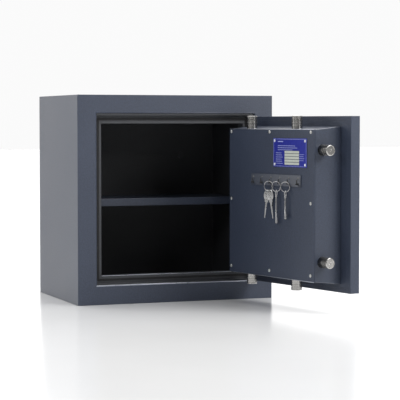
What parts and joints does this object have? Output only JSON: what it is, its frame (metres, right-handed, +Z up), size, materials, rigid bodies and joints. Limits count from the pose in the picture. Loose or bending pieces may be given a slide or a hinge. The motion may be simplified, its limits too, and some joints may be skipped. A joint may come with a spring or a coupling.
{
  "type": "wall safe",
  "caption": "Square steel safe with a flush hinged door standing open, thrown round bolts around a boltwork box, a key hook rail and an inner shelf.",
  "frame": {"origin": "middle of the underside of the cabinet", "axes": "+Z up, front of the safe faces -Y, +X to the right seen from the front"},
  "size_m": [0.5431, 0.7523, 0.5],
  "materials": {
    "outer_casing": "satin",
    "wall_filling": "matte",
    "inner_lining": "satin",
    "door_frame": "satin",
    "door_seal": "matte",
    "shelf": "satin",
    "shelf_rail_left": "satin",
    "shelf_rail_right": "satin",
    "anchor_plug_1": "satin",
    "anchor_plug_2": "satin",
    "hinge_frame_leaf_lower": "satin",
    "hinge_frame_leaf_upper": "satin",
    "hinge_pin_lower": "brushed",
    "hinge_pin_upper": "brushed",
    "hinge_washer_lower": "satin",
    "hinge_washer_upper": "satin",
    "hinge_door_leaf_lower": "satin",
    "hinge_door_leaf_upper": "satin",
    "door_panel": "satin",
    "door_filling": "matte",
    "door_back_plate": "satin",
    "boltwork_box": "satin",
    "cover_plate": "satin",
    "cover_screw_1": "satin",
    "cover_screw_2": "satin",
    "cover_screw_3": "satin",
    "cover_screw_4": "satin",
    "cover_screw_5": "satin",
    "cover_screw_6": "satin",
    "cover_screw_7": "satin",
    "cover_screw_8": "satin",
    "rating_plate": "satin",
    "rating_label": "matte",
    "key_hook_rail": "satin",
    "key_set_1": "brushed",
    "key_set_2": "brushed",
    "key_set_3": "brushed",
    "drill_plate": "brushed",
    "lock_case": "satin",
    "lock_bolt": "satin",
    "key_escutcheon": "polished",
    "key_cover_pin": "polished",
    "handle_rose": "polished",
    "spindle_bush": "satin",
    "bolt_guide_top": "satin",
    "bolt_guide_bottom": "satin",
    "handle_grip": "polished",
    "handle_spindle": "brushed",
    "hub_pinion": "brushed",
    "side_carriage": "satin",
    "side_bolt_lower": "brushed",
    "side_bolt_upper": "brushed",
    "top_bolt_bar": "satin",
    "top_bolt_lock": "brushed",
    "top_bolt_hinge": "brushed",
    "bottom_bolt_bar": "satin",
    "bottom_bolt_lock": "brushed",
    "bottom_bolt_hinge": "brushed",
    "key_cover": "polished"
  },
  "bodies": {
    "cabinet": {"outer_casing": "outer_casing", "wall_filling": "wall_filling", "inner_lining": "inner_lining", "door_frame": "door_frame", "door_seal": "door_seal", "shelf": "shelf", "shelf_rail_left": "shelf_rail_left", "shelf_rail_right": "shelf_rail_right", "anchor_plug_1": "anchor_plug_1", "anchor_plug_2": "anchor_plug_2", "hinge_frame_leaf_lower": "hinge_frame_leaf_lower", "hinge_frame_leaf_upper": "hinge_frame_leaf_upper", "hinge_pin_lower": "hinge_pin_lower", "hinge_pin_upper": "hinge_pin_upper", "hinge_washer_lower": "hinge_washer_lower", "hinge_washer_upper": "hinge_washer_upper"},
    "door": {"hinge_door_leaf_lower": "hinge_door_leaf_lower", "hinge_door_leaf_upper": "hinge_door_leaf_upper", "door_panel": "door_panel", "door_filling": "door_filling", "door_back_plate": "door_back_plate", "boltwork_box": "boltwork_box", "cover_plate": "cover_plate", "cover_screw_1": "cover_screw_1", "cover_screw_2": "cover_screw_2", "cover_screw_3": "cover_screw_3", "cover_screw_4": "cover_screw_4", "cover_screw_5": "cover_screw_5", "cover_screw_6": "cover_screw_6", "cover_screw_7": "cover_screw_7", "cover_screw_8": "cover_screw_8", "rating_plate": "rating_plate", "rating_label": "rating_label", "key_hook_rail": "key_hook_rail", "key_set_1": "key_set_1", "key_set_2": "key_set_2", "key_set_3": "key_set_3", "drill_plate": "drill_plate", "lock_case": "lock_case", "lock_bolt": "lock_bolt", "key_escutcheon": "key_escutcheon", "key_cover_pin": "key_cover_pin", "handle_rose": "handle_rose", "spindle_bush": "spindle_bush", "bolt_guide_top": "bolt_guide_top", "bolt_guide_bottom": "bolt_guide_bottom"},
    "handle": {"handle_grip": "handle_grip", "handle_spindle": "handle_spindle", "hub_pinion": "hub_pinion"},
    "side_bolts": {"side_carriage": "side_carriage", "side_bolt_lower": "side_bolt_lower", "side_bolt_upper": "side_bolt_upper"},
    "top_bolts": {"top_bolt_bar": "top_bolt_bar", "top_bolt_lock": "top_bolt_lock", "top_bolt_hinge": "top_bolt_hinge"},
    "bottom_bolts": {"bottom_bolt_bar": "bottom_bolt_bar", "bottom_bolt_lock": "bottom_bolt_lock", "bottom_bolt_hinge": "bottom_bolt_hinge"},
    "key_cover": {"key_cover": "key_cover"}
  },
  "joints": [
    {"name": "door_swing", "type": "hinge", "parent": "cabinet", "child": "door", "pos_m": [0.2085, -0.176, 0.25], "axis": [0, 0, 1], "range_deg": [-102, 0]},
    {"name": "handle_turn", "type": "hinge", "parent": "door", "child": "handle", "pos_m": [0.2513, -0.41584, 0.25], "axis": [0.9781, 0.2079, 0], "range_deg": [-90, 0]},
    {"name": "side_bolt_slide", "type": "slide", "parent": "door", "child": "side_bolts", "axis": [0.2079, -0.9781, 0], "range_m": [-0.03, 0]},
    {"name": "top_bolt_slide", "type": "slide", "parent": "door", "child": "top_bolts", "axis": [0, 0, 1], "range_m": [-0.03, 0]},
    {"name": "bottom_bolt_slide", "type": "slide", "parent": "door", "child": "bottom_bolts", "axis": [0, 0, -1], "range_m": [-0.03, 0]},
    {"name": "key_cover_swivel", "type": "hinge", "parent": "door", "child": "key_cover", "pos_m": [0.23852, -0.33166, 0.272], "axis": [-0.9781, -0.2079, 0], "range_deg": [0, 100]}
  ],
  "couplings": [
    {"joint": "handle_turn", "follows": "door_swing", "ratio": 0.88235},
    {"joint": "side_bolt_slide", "follows": "door_swing", "m_per_rad": 0.016852},
    {"joint": "top_bolt_slide", "follows": "door_swing", "m_per_rad": 0.016852},
    {"joint": "bottom_bolt_slide", "follows": "door_swing", "m_per_rad": 0.016852}
  ]
}
